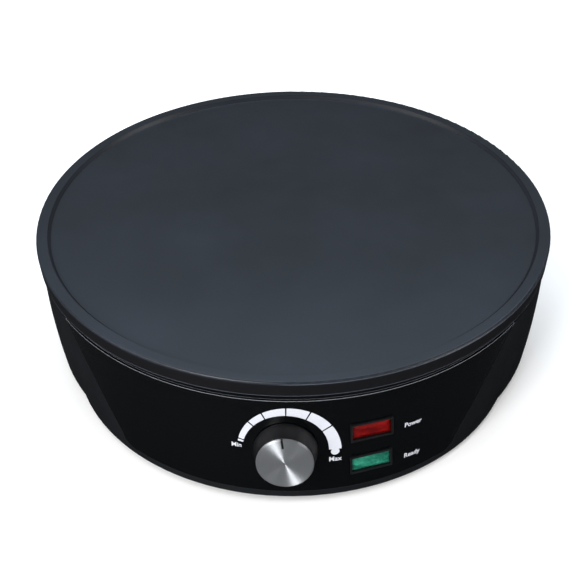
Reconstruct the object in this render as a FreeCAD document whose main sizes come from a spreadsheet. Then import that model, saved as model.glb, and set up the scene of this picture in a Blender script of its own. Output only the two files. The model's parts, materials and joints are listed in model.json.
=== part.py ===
import FreeCAD, Part
import Sketcher
import math
import os
import re

from FreeCAD import Placement, Rotation, Vector

# Electric crepe maker: a round cast hotplate over a tapered housing, with one
# temperature knob and two pilot lamps on a leaning console at the front.
# Millimetres, +Z up, the front faces -Y, and the table is the plane Z = 0.
# The pieces are drawn about the plate's own axis and then set back by
# axis_y, so that the origin is the middle of the whole footprint.

doc = FreeCAD.newDocument("CrepeMaker")

SIZES = {
    # levels, from the table up
    "foot_height": 4.0,
    "housing_height": 59.5,
    "plate_gap": 3.6,
    "skirt_height": 9.4,
    # cast hotplate
    "plate_radius": 150.0,
    "plate_thickness": 5.2,
    "rim_width": 6.6,
    "rim_rise": 1.8,
    "rim_slope": 1.6,
    "rim_round": 1.2,
    "skirt_wall": 3.0,
    "skirt_draft": 0.8,
    "rib_width": 4.0,
    "rib_depth": 3.0,
    # heating element and its straps
    "element_radius": 97.0,
    "tube_radius": 3.25,
    "element_gap_angle": 16.0,
    "element_drop": 22.0,
    "element_bend": 9.0,
    "pin_radius": 1.5,
    "pin_length": 9.0,
    "seat_width": 26.0,
    "strap_width": 12.0,
    "strap_thickness": 1.2,
    "strap_reach": 12.0,
    "strap_hole_offset": 7.7,
    "strap_slack": 0.3,
    "clip_place_x": 34.0,
    "clip_place_y": 26.0,
    "clip_reach": 9.2,
    "clip_hole_offset": 6.5,
    "fuse_radius": 2.0,
    "fuse_length": 11.0,
    "probe_radius": 2.6,
    "probe_length": 42.0,
    # fixing of the plate
    "post_circle": 119.0,
    "post_radius": 7.0,
    "spacer_height": 3.0,
    "plate_screw_radius": 2.0,
    "blind_depth": 3.2,
    "small_screw_radius": 1.5,
    # heat shield
    "shield_thickness": 0.8,
    "shield_rim_radius": 136.0,
    "shield_dish_radius": 110.0,
    "shield_depth": 9.0,
    "shield_flare": 5.0,
    # housing
    "wall": 3.0,
    "body_top_radius": 147.9,
    "body_bottom_radius": 142.5,
    "body_bulge_radius": 420.0,
    "edge_break": 1.5,
    "console_top_inset": 0.9,
    "console_top_offset": 2.0,
    "console_bottom_inset": 14.2,
    "console_bottom_offset": 28.0,
    "ledge_radius": 112.0,
    "ledge_thickness": 2.5,
    "column_circle": 131.0,
    "column_radius": 4.5,
    # glossy console panel
    "panel_thickness": 1.6,
    "panel_top_half": 121.5,
    "panel_bottom_half": 86.0,
    "panel_lip": 3.5,
    "panel_corner": 6.0,
    # knob, shaft and thermostat
    "knob_height_place": 33.9,
    "knob_base_radius": 16.7,
    "knob_neck_radius": 15.1,
    "knob_standoff": 0.6,
    "knob_depth": 11.2,
    "cap_radius": 14.75,
    "cap_thickness": 1.2,
    "pointer_width": 1.0,
    "pointer_length": 5.0,
    "pointer_angle": 6.0,
    "knob_wall": 2.0,
    "hub_radius": 6.2,
    "shaft_radius": 3.0,
    "shaft_flat": 0.9,
    "shaft_end": 9.0,
    "bracket_back": 11.0,
    "bracket_thickness": 1.2,
    "bracket_half_width": 27.0,
    "bracket_half_height": 15.0,
    "bracket_hole_offset": 22.5,
    "thermostat_half": 16.0,
    "thermostat_depth": 18.0,
    # pilot lamps
    "lamp_side_place": 44.0,
    "power_lamp_place": 41.3,
    "ready_lamp_place": 21.1,
    "lamp_width": 23.0,
    "lamp_height": 10.7,
    "lamp_wall": 0.9,
    "lamp_proud": 0.9,
    "lens_proud": 0.5,
    "lens_depth": 3.5,
    "lamp_frame_depth": 9.0,
    "lamp_body_depth": 18.0,
    "bulb_radius": 2.2,
    "bulb_length": 9.0,
    # bottom cover and feet
    "cover_thickness": 2.5,
    "vent_inner": 40.0,
    "vent_outer": 78.0,
    "vent_width": 4.0,
    "screw_sink_radius": 3.1,
    "screw_sink_depth": 1.4,
    "foot_circle": 108.0,
    "foot_radius": 9.0,
    "foot_stem_radius": 3.5,
    # rear inlet and wiring
    "inlet_height": 20.0,
    "inlet_bore_radius": 3.75,
    "inlet_wall": 2.0,
    "inlet_flange": 2.5,
    "inlet_seat": 2.05,
    "block_length": 38.0,
    "block_width": 20.0,
    "block_height": 14.0,
    "block_place": 92.0,
    "block_fix_offset": 6.0,
    # clearances
    "fit_gap": 0.15,
    "run_gap": 0.05,
}


def make_sheet():
    """Put every driving size in the spreadsheet, with its name as alias."""
    table = doc.addObject("Spreadsheet::Sheet", "Sizes")
    for row, (name, value) in enumerate(SIZES.items(), start=1):
        table.set("A%d" % row, name)
        table.set("B%d" % row, str(value))
        table.setAlias("B%d" % row, name)
    doc.recompute()
    return table


sheet = make_sheet()


def bound(text):
    """Turn an expression in plain size names into one that reads the sheet."""
    def swap(found):
        word = found.group()
        return "Sizes." + word if word in SIZES else word
    return re.sub(r"[A-Za-z_][A-Za-z_0-9]*", swap, str(text))


def value(text):
    """The number that an expression in size names gives now."""
    return float(sheet.evalExpression(bound(text)))


# Levels above the table
HOUSING_BOTTOM = "foot_height"
HOUSING_TOP = "(foot_height + housing_height)"
SKIRT_BOTTOM = "(foot_height + housing_height + plate_gap)"
RIM_TOP = "(foot_height + housing_height + plate_gap + skirt_height)"
COOK_FACE = "(%s - rim_rise)" % RIM_TOP
PLATE_UNDER = "(%s - plate_thickness)" % COOK_FACE
TUBE_LEVEL = "(%s - tube_radius)" % PLATE_UNDER
LEDGE_UNDER = "(%s - ledge_thickness)" % HOUSING_TOP
SHIELD_TOP = "(%s + shield_thickness)" % HOUSING_TOP
POST_UNDER = "(%s + spacer_height)" % SHIELD_TOP
COVER_TOP = "(foot_height + cover_thickness)"

# The console's two level circles follow those of the round body
CONSOLE_TOP_RADIUS = "(body_top_radius - console_top_inset)"
CONSOLE_BOTTOM_RADIUS = "(body_bottom_radius - console_bottom_inset)"

POST_ANGLES = (90, 210, 330)
COLUMN_ANGLES = (45, 135, 225, 315)
STRAP_ANGLES = (30, 150, 210, 330)
CLIP_PLACES = ("clip_place_x", "-clip_place_x")
FOOT_NAMES = {225: "foot_front_left", 315: "foot_front_right",
              45: "foot_rear_right", 135: "foot_rear_left"}


def move(obj, at=("0", "0", "0"), turn=None):
    """Place an object: at holds three expressions, turn is a Rotation."""
    obj.Placement = Placement(Vector(), turn or Rotation())
    for letter, text in zip("xyz", at):
        if text != "0":
            obj.setExpression("Placement.Base." + letter, bound(text))
    return obj


def cylinder(name, radius, height, at=("0", "0", "0"), turn=None):
    obj = doc.addObject("Part::Cylinder", name)
    obj.setExpression("Radius", bound(radius))
    obj.setExpression("Height", bound(height))
    return move(obj, at, turn)


def cone(name, low, high, height, at=("0", "0", "0"), turn=None):
    obj = doc.addObject("Part::Cone", name)
    obj.setExpression("Radius1", bound(low))
    obj.setExpression("Radius2", bound(high))
    obj.setExpression("Height", bound(height))
    return move(obj, at, turn)


def box(name, length, width, height, at=("0", "0", "0"), turn=None):
    """A block centred on at in X and Y, standing up from it in Z."""
    obj = doc.addObject("Part::Box", name)
    obj.setExpression("Length", bound(length))
    obj.setExpression("Width", bound(width))
    obj.setExpression("Height", bound(height))
    turn = turn or Rotation()
    along, across = turn.multVec(Vector(1, 0, 0)), turn.multVec(Vector(0, 1, 0))
    places = ["(%s) - (%s) / 2 * (%.9f) - (%s) / 2 * (%.9f)" % (text, length, along[i], width, across[i])
              for i, text in enumerate(at)]
    return move(obj, places, turn)


def torus(name, ring, tube, at=("0", "0", "0")):
    obj = doc.addObject("Part::Torus", name)
    obj.setExpression("Radius1", bound(ring))
    obj.setExpression("Radius2", bound(tube))
    return move(obj, at)


def fuse(name, pieces):
    obj = doc.addObject("Part::MultiFuse", name)
    obj.Shapes = pieces
    obj.Refine = True
    return obj


def cut(name, base, tools):
    obj = doc.addObject("Part::Cut", name)
    obj.Base = base
    obj.Tool = tools[0] if len(tools) == 1 else group(name + "_tools", tools)
    obj.Refine = True
    return obj


def common(name, base, tool):
    obj = doc.addObject("Part::MultiCommon", name)
    obj.Shapes = [base, tool]
    return obj


def group(name, pieces):
    """Several separate solids held together as one object."""
    obj = doc.addObject("Part::Compound", name)
    obj.Links = pieces
    return obj


def polar(radius, angle):
    """Expressions for a point at an angle from +X on a circle."""
    return ("(%s) * cos(%r)" % (radius, angle), "(%s) * sin(%r)" % (radius, angle))


def outline(body, name, points, role, level="0"):
    """A closed sketch through points given as pairs of expressions.

    A third entry on a point is the radius of the arc to the next point, which
    bulges to the right of the way there, or to the left where it starts "-".
    """
    sketch = body.newObject("Sketcher::SketchObject", name)
    plane = [o for o in body.Origin.OriginFeatures if o.Role == role][0]
    sketch.AttachmentSupport = [(plane, "")]
    sketch.MapMode = "FlatFace"
    sketch.setExpression("AttachmentOffset.Base.z", bound(level))
    spots = [Vector(value(p[0]), value(p[1]), 0) for p in points]
    count = len(spots)
    ends = []
    for i, point in enumerate(points):
        start, end = spots[i], spots[(i + 1) % count]
        if len(point) == 2:
            sketch.addGeometry(Part.LineSegment(start, end))
            ends.append((1, 2))
            continue
        side = -1 if point[2].startswith("-") else 1
        radius = value(point[2].lstrip("-"))
        chord = end - start
        sagitta = radius - math.sqrt(radius ** 2 - (chord.Length / 2) ** 2)
        right = Vector(chord.y, -chord.x, 0).normalize()
        middle = (start + end) / 2 + right * sagitta * side
        sketch.addGeometry(Part.Arc(start, middle, end))
        ends.append((1, 2) if side > 0 else (2, 1))
    for i in range(count):
        after = (i + 1) % count
        sketch.addConstraint(Sketcher.Constraint("Coincident", i, ends[i][1], after, ends[after][0]))
    for i, point in enumerate(points):
        for letter, text, number in (("X", point[0], spots[i].x), ("Y", point[1], spots[i].y)):
            index = sketch.addConstraint(Sketcher.Constraint("Distance" + letter, i, ends[i][0], number))
            sketch.renameConstraint(index, "%s%d" % (letter.lower(), i))
            sketch.setExpression("Constraints.%s%d" % (letter.lower(), i), bound(text))
        if len(point) == 3:
            text = point[2].lstrip("-")
            index = sketch.addConstraint(Sketcher.Constraint("Radius", i, value(text)))
            sketch.renameConstraint(index, "round%d" % i)
            sketch.setExpression("Constraints.round%d" % i, bound(text))
    return sketch


def turned(name, points, at=("0", "0", "0"), turn=None):
    """A body turned about Z from a profile of radius and height."""
    body = doc.addObject("PartDesign::Body", name)
    sketch = outline(body, name + "_profile", points, "XZ_Plane")
    solid = body.newObject("PartDesign::Revolution", name + "_turn")
    solid.Profile = sketch
    solid.ReferenceAxis = (sketch, ["V_Axis"])
    solid.Angle = 360
    return move(body, at, turn)


def plate_of(name, points, height, role="XY_Plane", level="0", at=("0", "0", "0"), turn=None):
    """A body padded from a closed outline."""
    body = doc.addObject("PartDesign::Body", name)
    sketch = outline(body, name + "_outline", points, role, level)
    solid = body.newObject("PartDesign::Pad", name + "_pad")
    solid.Profile = sketch
    solid.setExpression("Length", bound(height))
    return move(body, at, turn)


def screw(name, shank, length, head, head_height, at, turn=None):
    """A pan head screw: its head starts at at and the shank goes on up +Z."""
    turn = turn or Rotation()
    return turned(name, [
        ("0", "0"),
        ("0.55 * %s" % head, "0"),
        ("%s" % head, "0.45 * %s" % head_height),
        ("%s" % head, head_height),
        (shank, head_height),
        (shank, "%s + %s" % (head_height, length)),
        ("0", "%s + %s + 0.5 * %s" % (head_height, length, shank)),
    ], at, turn)


# Hotplate

def make_hotplate():
    seat_in = "(element_radius - seat_width / 2)"
    seat_out = "(element_radius + seat_width / 2)"
    disc = turned("plate_disc", [
        ("0", PLATE_UNDER),
        (seat_in + " - 1.5", PLATE_UNDER),
        (seat_in, TUBE_LEVEL),
        (seat_out, TUBE_LEVEL),
        (seat_out + " + 1.5", PLATE_UNDER),
        ("plate_radius - skirt_wall - skirt_draft - 3", PLATE_UNDER),
        ("plate_radius - skirt_wall - skirt_draft", PLATE_UNDER + " - 1.5"),
        ("plate_radius - skirt_wall - skirt_draft", SKIRT_BOTTOM),
        ("plate_radius - skirt_draft", SKIRT_BOTTOM),
        ("plate_radius", RIM_TOP + " - rim_round", "rim_round"),
        ("plate_radius - rim_round", RIM_TOP),
        ("plate_radius - rim_width", RIM_TOP),
        ("plate_radius - rim_width - rim_slope", COOK_FACE),
        ("0", COOK_FACE),
    ])
    pieces = [disc]
    holes = [torus("plate_groove", "element_radius", "tube_radius + run_gap", ("0", "0", TUBE_LEVEL))]
    for angle in POST_ANGLES:
        x, y = polar("post_circle", angle)
        pieces.append(cylinder("plate_post", "post_radius", "%s - %s + 0.5" % (PLATE_UNDER, POST_UNDER),
                               (x, y, POST_UNDER)))
        holes.append(cylinder("plate_post_hole", "plate_screw_radius + run_gap",
                              "%s + blind_depth - %s + 1" % (PLATE_UNDER, POST_UNDER),
                              (x, y, POST_UNDER + " - 1")))
        rib = box("plate_rib", seat_in + " - 30", "rib_width", "rib_depth",
                  polar("(30 + %s) / 2" % seat_in, angle) + (PLATE_UNDER + " - rib_depth + 0.01",),
                  Rotation(Vector(0, 0, 1), angle))
        pieces.append(rib)
    for angle in STRAP_ANGLES:
        for side in (-1, 1):
            x, y = polar("element_radius + %d * strap_hole_offset" % side, angle)
            holes.append(cylinder("plate_strap_hole", "small_screw_radius + run_gap", "6.5",
                                  (x, y, TUBE_LEVEL + " - 1")))
    for x in CLIP_PLACES:
        for side in (-1, 1):
            holes.append(cylinder("plate_clip_hole", "small_screw_radius + run_gap", "4.5",
                                  (x, "clip_place_y + %d * clip_hole_offset" % side, PLATE_UNDER + " - 1")))
    return cut("hotplate", fuse("plate_blank", pieces), holes)


def strap(name, tube, along, reach, hole_offset, at, turn):
    """A pressed saddle strap: two flat ears and a half round over a tube.

    It hangs below the seat plane at at, with the tube along local X.
    """
    ears = box(name + "_ears", along, "2 * " + reach, "strap_thickness", ("0", "0", "-strap_thickness"))
    lay = Rotation(Vector(0, 1, 0), 90)
    arch = cylinder(name + "_arch", "%s + strap_slack + strap_thickness" % tube, along,
                    ("-(%s) / 2" % along, "0", "0"), lay)
    blank = fuse(name + "_blank", [ears, arch])
    bore = cylinder(name + "_bore", "%s + strap_slack" % tube, "%s + 2" % along,
                    ("-(%s) / 2 - 1" % along, "0", "0"), lay)
    above = box(name + "_above", "%s + 2" % along, "4 * " + reach, reach, ("0", "0", "0"))
    holes = [bore, above]
    for side in (-1, 1):
        holes.append(cylinder(name + "_hole", "small_screw_radius + fit_gap", "4",
                              ("0", "%d * %s" % (side, hole_offset), "-3")))
    return move(cut(name, blank, holes), at, turn)


def strap_screw(name, at):
    """A screw whose head bears on a strap's ear from below."""
    return screw(name, "small_screw_radius", "4.5", "2.7", "1.8",
                 (at[0], at[1], "%s - strap_thickness - 1.8" % at[2]))


def make_element():
    """A tubular ring with a gap at the back, whose two ends turn down."""
    ring = value("element_radius")
    level = value(TUBE_LEVEL)
    bend = value("element_bend")
    drop = value("element_drop")
    half = value("element_gap_angle") / 2
    shapes = []

    def at(angle, radius, height):
        return Vector(radius * math.cos(math.radians(angle)), radius * math.sin(math.radians(angle)), height)

    first, last, opposite = at(90 + half, ring, level), at(90 - half, ring, level), at(270, ring, level)
    edges = []
    for start, angle, way in ((first, 90 + half, -1), (last, 90 - half, 1)):
        tangent = Vector(-math.sin(math.radians(angle)), math.cos(math.radians(angle)), 0) * way
        centre = start + Vector(0, 0, -bend)
        low = centre + tangent * bend
        middle = centre + (tangent + Vector(0, 0, 1)).normalize() * bend
        foot = low - Vector(0, 0, drop - bend)
        arc = Part.Arc(start, middle, low).toShape()
        edges.append((Part.LineSegment(low, foot).toShape(), arc))
        shapes.append(Part.makeCylinder(value("pin_radius"), value("pin_length") + 0.5,
                                        foot + Vector(0, 0, 0.5), Vector(0, 0, -1)))
    ring_edge = Part.Arc(first, opposite, last).toShape()
    path = Part.Wire(Part.__sortEdges__([edges[0][0], edges[0][1], ring_edge, edges[1][1], edges[1][0]]))
    start_point = path.OrderedVertexes[0].Point
    section = Part.Wire(Part.makeCircle(value("tube_radius"), start_point, Vector(0, 0, 1)))
    tube = path.makePipeShell([section], True, False)
    obj = doc.addObject("Part::Feature", "heating_element")
    obj.Shape = tube.fuse(shapes).removeSplitter()
    return obj


# Heat shield, spacers and plate screws

def make_heat_shield():
    inner = "shield_dish_radius"
    floor = "(%s - shield_depth)" % HOUSING_TOP
    t = "shield_thickness"
    sheet_body = turned("shield_sheet", [
        ("0", floor),
        (inner + " - shield_flare", floor),
        (inner, HOUSING_TOP),
        ("shield_rim_radius", HOUSING_TOP),
        ("shield_rim_radius", "%s + %s" % (HOUSING_TOP, t)),
        (inner + " - %s" % t, "%s + %s" % (HOUSING_TOP, t)),
        (inner + " - shield_flare - %s" % t, "%s + %s" % (floor, t)),
        ("0", "%s + %s" % (floor, t)),
    ])
    holes = []
    for angle in POST_ANGLES:
        x, y = polar("post_circle", angle)
        holes.append(cylinder("shield_screw_hole", "plate_screw_radius + fit_gap", "4",
                              (x, y, HOUSING_TOP + " - 1")))
    for side in (-1, 1):
        x = "element_radius * sin(element_gap_angle / 2) - element_bend * cos(element_gap_angle / 2)"
        x = "%d * (%s)" % (side, x)
        y = "element_radius * cos(element_gap_angle / 2) + element_bend * sin(element_gap_angle / 2)"
        holes.append(cylinder("shield_end_hole", "tube_radius + 0.6", "6", (x, y, floor + " - 2")))
    for x in CLIP_PLACES:
        holes.append(cylinder("shield_wire_hole", "4", "6", (x, "0", floor + " - 2")))
    return cut("heat_shield", sheet_body, holes)


def make_plate_fixings():
    spacers, screws = [], []
    for angle in POST_ANGLES:
        x, y = polar("post_circle", angle)
        ring = cylinder("spacer_ring", "post_radius", "spacer_height", (x, y, SHIELD_TOP))
        bore = cylinder("spacer_bore", "plate_screw_radius + fit_gap", "spacer_height + 2",
                        (x, y, SHIELD_TOP + " - 1"))
        spacers.append(cut("spacer", ring, [bore]))
        screws.append(screw("plate_screw", "plate_screw_radius",
                            "%s + blind_depth - %s - 1.3" % (PLATE_UNDER, LEDGE_UNDER), "3.8", "2.6",
                            (x, y, LEDGE_UNDER + " - 2.6")))
    return group("plate_spacers", spacers), group("plate_screws", screws)


# Housing and console

def console_loft(name, inset, reach="0"):
    """The leaning console as a ruled solid between two level circles."""
    rings = []
    radii = {"top": CONSOLE_TOP_RADIUS, "bottom": CONSOLE_BOTTOM_RADIUS}
    narrow = "(%s - %s) * (%s) / housing_height" % (CONSOLE_TOP_RADIUS, CONSOLE_BOTTOM_RADIUS, reach)
    forward = "(console_bottom_offset - console_top_offset) * (%s) / housing_height" % reach
    for which, level, way in (("top", HOUSING_TOP, "1"), ("bottom", HOUSING_BOTTOM, "-1")):
        ring = doc.addObject("Part::Circle", name + "_" + which)
        ring.setExpression("Radius", bound("%s - (%s) + %s * %s" % (radii[which], inset, way, narrow)))
        move(ring,
             ("0", "-console_%s_offset + %s * %s" % (which, way, forward),
              "%s + %s * (%s)" % (level, way, reach)))
        rings.append(ring)
    loft = doc.addObject("Part::Loft", name)
    loft.Sections = rings
    loft.Solid = True
    loft.Ruled = True
    return loft


def body_bowl(name, inset, bottom, top, edge="edge_break"):
    """The round part of the housing, slightly bulged, out to a given inset."""
    return turned(name, [
        ("0", bottom),
        ("body_bottom_radius - (%s) - %s" % (inset, edge), bottom),
        ("body_bottom_radius - (%s)" % inset, "%s + %s" % (bottom, edge), "body_bulge_radius"),
        ("body_top_radius - (%s)" % inset, top),
        ("0", top),
    ])


def panel_prism(name, grow, bottom_grow):
    """The console panel's front view, carried straight back along Y."""
    top = "(%s + %s)" % (HOUSING_TOP, "1")
    slope = "((panel_top_half - panel_bottom_half) / (housing_height - panel_lip))"
    low = "(foot_height + panel_lip - (%s))" % bottom_grow
    half_low = "(panel_bottom_half + (%s))" % grow
    half_top = "(panel_top_half + %s * 1 + (%s))" % (slope, grow)
    corner = "panel_corner"
    return plate_of(name, [
        ("-(%s)" % half_top, top),
        ("-(%s + %s * %s)" % (half_low, slope, corner), "%s + %s" % (low, corner), "1.25 * " + corner),
        ("-(%s - %s)" % (half_low, corner), low),
        ("%s - %s" % (half_low, corner), low, "1.25 * " + corner),
        ("%s + %s * %s" % (half_low, slope, corner), "%s + %s" % (low, corner)),
        (half_top, top),
    ], "100", "XZ_Plane", "70")


def lamp_spot(height):
    """Where a lamp's middle lies on the console's skin, and how it faces."""
    share = (value(HOUSING_TOP) - height) / value("housing_height")
    offset = value("console_top_offset") + share * value("console_bottom_offset - console_top_offset")
    narrowing = value(CONSOLE_TOP_RADIUS + " - " + CONSOLE_BOTTOM_RADIUS)
    radius = value(CONSOLE_TOP_RADIUS) - share * narrowing
    side = value("lamp_side_place")
    swing = math.asin(side / radius)
    spot = Vector(side, -offset - radius * math.cos(swing), height)
    grow = value("console_bottom_offset - console_top_offset") * math.cos(swing)
    grow -= narrowing
    lean = math.degrees(math.atan2(grow, value("housing_height")))
    facing = Rotation(Vector(0, 0, 1), math.degrees(swing)) * Rotation(Vector(1, 0, 0), 90 - lean)
    return Placement(spot, facing)


def knob_spot():
    """The knob's place on the console's skin: local +Z points out of it."""
    height = value("knob_height_place")
    share = (value(HOUSING_TOP) - height) / value("housing_height")
    front_top = value(CONSOLE_TOP_RADIUS + " + console_top_offset")
    front_bottom = value(CONSOLE_BOTTOM_RADIUS + " + console_bottom_offset")
    reach = front_top + share * (front_bottom - front_top)
    lean = math.degrees(math.atan2(front_bottom - front_top, value("housing_height")))
    return Placement(Vector(0, -reach, height), Rotation(Vector(1, 0, 0), 90 - lean))


def seat(obj, spot):
    """Carry an object drawn in a control's own frame to its spot."""
    obj.Placement = spot
    return obj


def lamp_windows(depth):
    windows = []
    for height in ("power_lamp_place", "ready_lamp_place"):
        hole = box("lamp_window", "lamp_width + 2 * fit_gap", "lamp_height + 2 * fit_gap", depth,
                   ("0", "0", "-(%s) / 2" % depth))
        windows.append(seat(group("lamp_window_seat", [hole]), lamp_spot(value(height))))
    return windows


def shaft_window(radius):
    hole = cylinder("shaft_window", radius, "24", ("0", "0", "-12"))
    return seat(group("shaft_window_seat", [hole]), knob_spot())


def make_housing():
    outer = fuse("housing_outside", [body_bowl("bowl_outside", "0", HOUSING_BOTTOM, HOUSING_TOP),
                                     console_loft("console_outside", "0")])
    inner = fuse("housing_inside",
                 [body_bowl("bowl_inside", "wall", HOUSING_BOTTOM + " - 1", LEDGE_UNDER, "0.1"),
                                    common("console_inside_low",
                                           console_loft("console_inside", "wall", "1"),
                                           cylinder("console_level", "200",
                                                    "%s - %s + 2" % (LEDGE_UNDER, HOUSING_BOTTOM),
                                                    ("0", "0", HOUSING_BOTTOM + " - 2")))])
    shell = cut("housing_hollow", outer, [inner])
    columns = [shell]
    holes = [cylinder("housing_mouth", "ledge_radius", "20", ("0", "0", LEDGE_UNDER + " - 10"))]
    for angle in COLUMN_ANGLES:
        x, y = polar("column_circle", angle)
        columns.append(cylinder("housing_column", "column_radius", "%s - %s + 0.5" % (LEDGE_UNDER, COVER_TOP),
                                (x, y, COVER_TOP)))
        columns.append(box("column_web", "12", "2", "%s - %s + 0.5" % (LEDGE_UNDER, COVER_TOP),
                           polar("column_circle + 5", angle) + (COVER_TOP,),
                           Rotation(Vector(0, 0, 1), angle)))
        holes.append(cylinder("column_bore", "small_screw_radius + run_gap", "16",
                              (x, y, COVER_TOP + " - 1")))
    for angle in POST_ANGLES:
        x, y = polar("post_circle", angle)
        holes.append(cylinder("ledge_hole", "plate_screw_radius + fit_gap", "20",
                              (x, y, LEDGE_UNDER + " - 10")))
    bosses = []
    for side in (-1, 1):
        bosses.append(cylinder("control_boss", "4", "bracket_back - 5",
                               ("%d * bracket_hole_offset" % side, "0", "-bracket_back")))
    columns.append(seat(group("control_bosses", bosses), knob_spot()))
    bores = []
    for side in (-1, 1):
        bores.append(cylinder("control_bore", "small_screw_radius + run_gap", "6",
                              ("%d * bracket_hole_offset" % side, "0", "-bracket_back - 1")))
    holes.append(seat(group("control_bores", bores), knob_spot()))
    recess = cut("panel_recess", panel_prism("recess_prism", "fit_gap", "fit_gap"),
                 [console_loft("recess_floor", "panel_thickness + fit_gap", "4")])
    holes += [recess, shaft_window("shaft_radius + 2")] + lamp_windows("40")
    inlet = cylinder("inlet_hole", "inlet_bore_radius + inlet_wall + run_gap", "30",
                     ("0", "body_bottom_radius + 10", "inlet_height"), Rotation(Vector(1, 0, 0), 90))
    holes.append(inlet)
    return cut("housing_shell", fuse("housing_blank", columns), holes)


def make_panel():
    skin = cut("panel_skin", console_loft("panel_outside", "0"),
               [console_loft("panel_inside", "panel_thickness", "4")])
    blank = common("panel_blank", skin, panel_prism("panel_prism", "0", "0"))
    return cut("front_panel", blank, [shaft_window("shaft_radius + 1.2")] + lamp_windows("40"))


# Bottom cover and feet

def make_cover():
    bowl = body_bowl("cover_bowl", "wall + fit_gap", HOUSING_BOTTOM + " - 1", LEDGE_UNDER, "0.1")
    loft = console_loft("cover_loft", "wall + fit_gap", "0")
    slab = cylinder("cover_slab", "200", "cover_thickness", ("0", "0", HOUSING_BOTTOM))
    blank = common("cover_blank", fuse("cover_outline", [bowl, loft]), slab)
    pieces = [blank]
    for side in (-1, 1):
        pieces.append(cylinder("block_post", "4", "6",
                               ("%d * block_fix_offset" % side, "block_place", COVER_TOP + " - 0.5")))
    holes = []
    for angle in COLUMN_ANGLES:
        x, y = polar("column_circle", angle)
        holes.append(cylinder("cover_screw_hole", "small_screw_radius + fit_gap", "10",
                              (x, y, HOUSING_BOTTOM + " - 3")))
        holes.append(cylinder("cover_screw_sink", "screw_sink_radius", "screw_sink_depth + 1",
                              (x, y, HOUSING_BOTTOM + " - 1")))
        fx, fy = polar("foot_circle", angle)
        holes.append(cylinder("cover_foot_hole", "foot_stem_radius + run_gap", "10",
                              (fx, fy, HOUSING_BOTTOM + " - 3")))
    for side in (-1, 1):
        holes.append(cylinder("block_post_bore", "small_screw_radius + run_gap", "5",
                              ("%d * block_fix_offset" % side, "block_place", COVER_TOP + " + 1")))
    for step in range(12):
        angle = 15 + 30 * step
        holes.append(box("cover_vent", "vent_outer - vent_inner", "vent_width", "10",
                         polar("(vent_outer + vent_inner) / 2", angle) + (HOUSING_BOTTOM + " - 3",),
                         Rotation(Vector(0, 0, 1), angle)))
    return cut("bottom_cover", fuse("cover_body", pieces), holes)


def make_cover_screws():
    screws = []
    for angle in COLUMN_ANGLES:
        x, y = polar("column_circle", angle)
        screws.append(screw("cover_screw", "small_screw_radius", "10", "screw_sink_radius - 2 * fit_gap",
                            "screw_sink_depth",
                            (x, y, HOUSING_BOTTOM)))
    return group("cover_screws", screws)


def make_foot(name, angle):
    """A rubber foot whose stem is pulled through the cover."""
    x, y = polar("foot_circle", angle)
    return turned(name, [
        ("0", "0"),
        ("foot_radius - 1.2", "0"),
        ("foot_radius", "0.8"),
        ("foot_radius - 0.6", "foot_height"),
        ("foot_stem_radius", "foot_height"),
        ("foot_stem_radius", COVER_TOP),
        ("foot_stem_radius + 1.2", COVER_TOP),
        ("foot_stem_radius - 1", COVER_TOP + " + 3.5"),
        ("0", COVER_TOP + " + 3.5"),
    ], (x, y, "0"))


# Controls, drawn in the knob's own frame

def make_knob():
    back = "knob_standoff"
    face = "(knob_standoff + knob_depth - cap_thickness)"
    blank = turned("knob_blank", [
        ("0", back),
        ("knob_base_radius", back),
        ("knob_base_radius", back + " + 0.8"),
        ("knob_neck_radius", face + " - 1.2", "1.6"),
        ("cap_radius - 0.6", face),
        ("0", face),
    ])
    hollow = turned("knob_hollow", [
        ("hub_radius", back + " - 1"),
        ("knob_base_radius - knob_wall", back + " - 1"),
        ("knob_neck_radius - knob_wall", face + " - knob_wall"),
        ("hub_radius", face + " - knob_wall"),
    ])
    pieces = [cut("knob_cup", blank, [hollow])]
    for step in range(6):
        angle = 30 + 60 * step
        pieces.append(box("knob_rib", "knob_neck_radius - knob_wall - hub_radius + 1.4", "1.2",
                          face + " - knob_wall - 5.5",
                          polar("(knob_neck_radius - knob_wall + hub_radius) / 2", angle) + ("6",),
                          Rotation(Vector(0, 0, 1), angle)))
    pieces.append(box("knob_pointer", "pointer_width", "pointer_length", "cap_thickness + 1",
                      ("0", "cap_radius - pointer_length / 2 - 0.3", face + " - 1")))
    bore = cylinder("knob_bore", "shaft_radius + run_gap", "20", ("0", "0", "shaft_end - 20"))
    flat = box("knob_flat", "4 * shaft_radius", "2 * shaft_radius", "30",
               ("0", "2 * shaft_radius - shaft_flat + run_gap", "-10"))
    return cut("knob_body", fuse("knob_solid", pieces), [cut("knob_d_bore", bore, [flat])])


def make_cap():
    face = "(knob_standoff + knob_depth - cap_thickness)"
    disc = turned("cap_disc", [
        ("0", face),
        ("cap_radius", face),
        ("cap_radius", face + " + cap_thickness - 0.5"),
        ("cap_radius - 0.7", face + " + cap_thickness"),
        ("1.2", face + " + cap_thickness"),
        ("0", face + " + cap_thickness - 0.15"),
    ])
    slot = box("cap_slot", "pointer_width + 0.2", "pointer_length + 2", "cap_thickness + 2",
               ("0", "cap_radius - pointer_length / 2 + 0.7 - 0.2", face + " - 1"))
    return cut("knob_cap", disc, [slot])


def make_shaft():
    rod = cylinder("shaft_rod", "shaft_radius",
                   "bracket_back + bracket_thickness + thermostat_depth - 4 + shaft_end - 0.5",
                   ("0", "0", "-(bracket_back + bracket_thickness + thermostat_depth - 4)"))
    flat = box("shaft_flat_cut", "4 * shaft_radius", "2 * shaft_radius", "20",
               ("0", "2 * shaft_radius - shaft_flat", "0.2"))
    return cut("thermostat_shaft", rod, [flat])


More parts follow.
